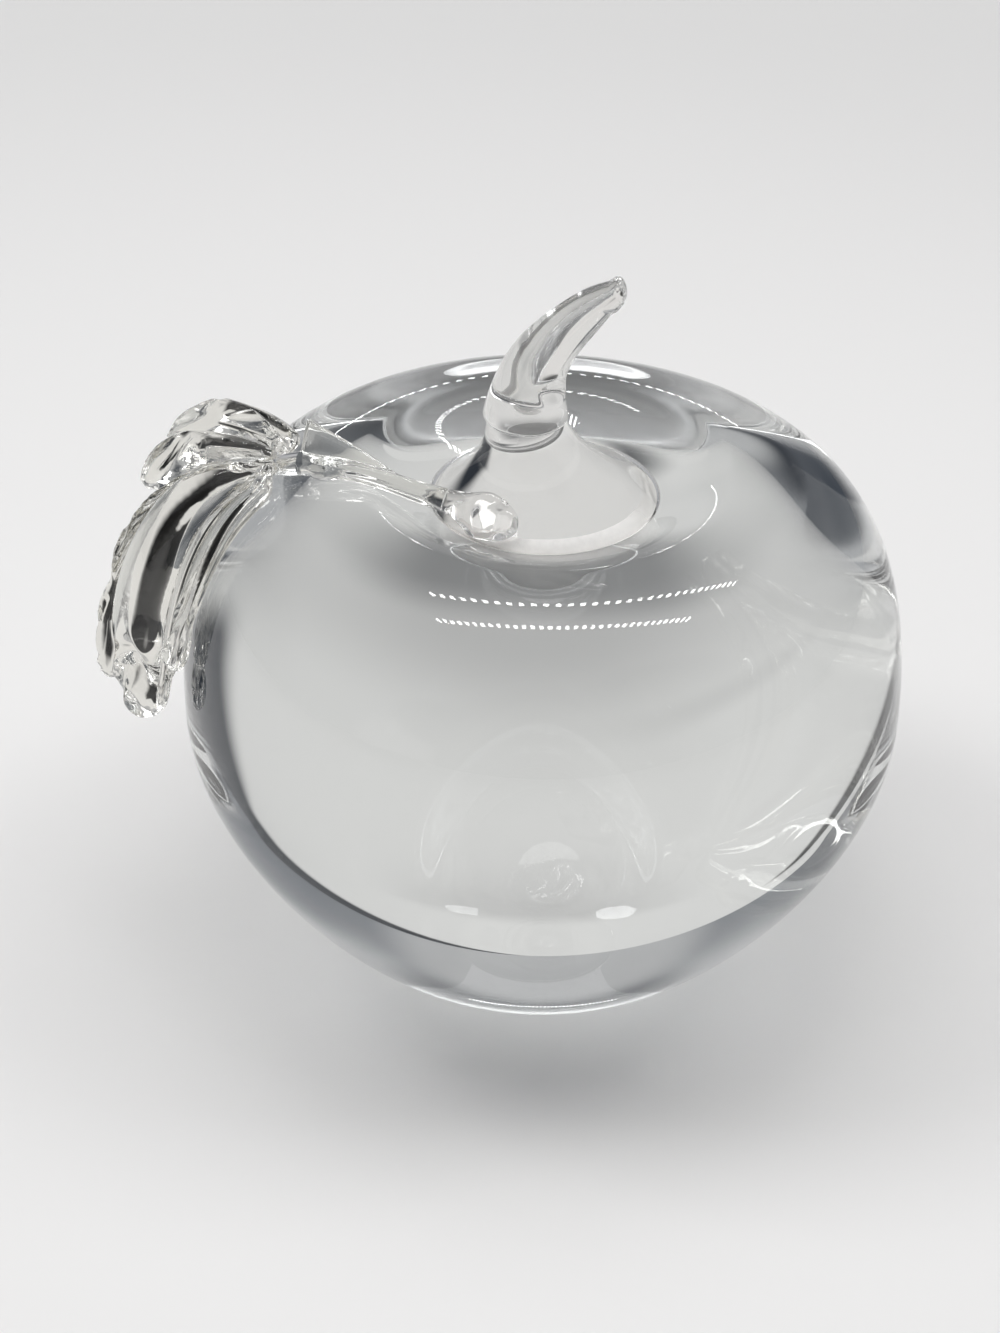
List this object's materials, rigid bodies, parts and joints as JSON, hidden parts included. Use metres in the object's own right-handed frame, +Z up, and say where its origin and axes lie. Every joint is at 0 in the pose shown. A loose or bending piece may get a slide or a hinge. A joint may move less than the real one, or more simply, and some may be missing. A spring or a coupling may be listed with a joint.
{
  "type": "glass apple paperweight",
  "caption": "Solid clear glass apple with a flat foot, a dimpled top, a curved drawn stem and a pressed ribbed leaf hanging over one shoulder.",
  "frame": {"origin": "centre of the ground foot's flat face", "axes": "+Z up out of the foot along the apple's axis; the stem curls towards +X; the leaf hangs over the -X shoulder; -Y faces the viewer of the picture"},
  "size_m": [0.0885, 0.08, 0.0816],
  "materials": {
    "body_glass": "fire polished clear glass with a ground and polished foot",
    "stem_glass": "fire polished clear glass",
    "leaf_glass": "fire polished clear glass, pressed into ribs"
  },
  "bodies": {
    "root": {"apple_body": "body_glass", "stem_seat": "stem_glass", "stem": "stem_glass", "leaf_pad": "leaf_glass", "leaf_stalk": "leaf_glass", "leaf": "leaf_glass"}
  },
  "joints": []
}
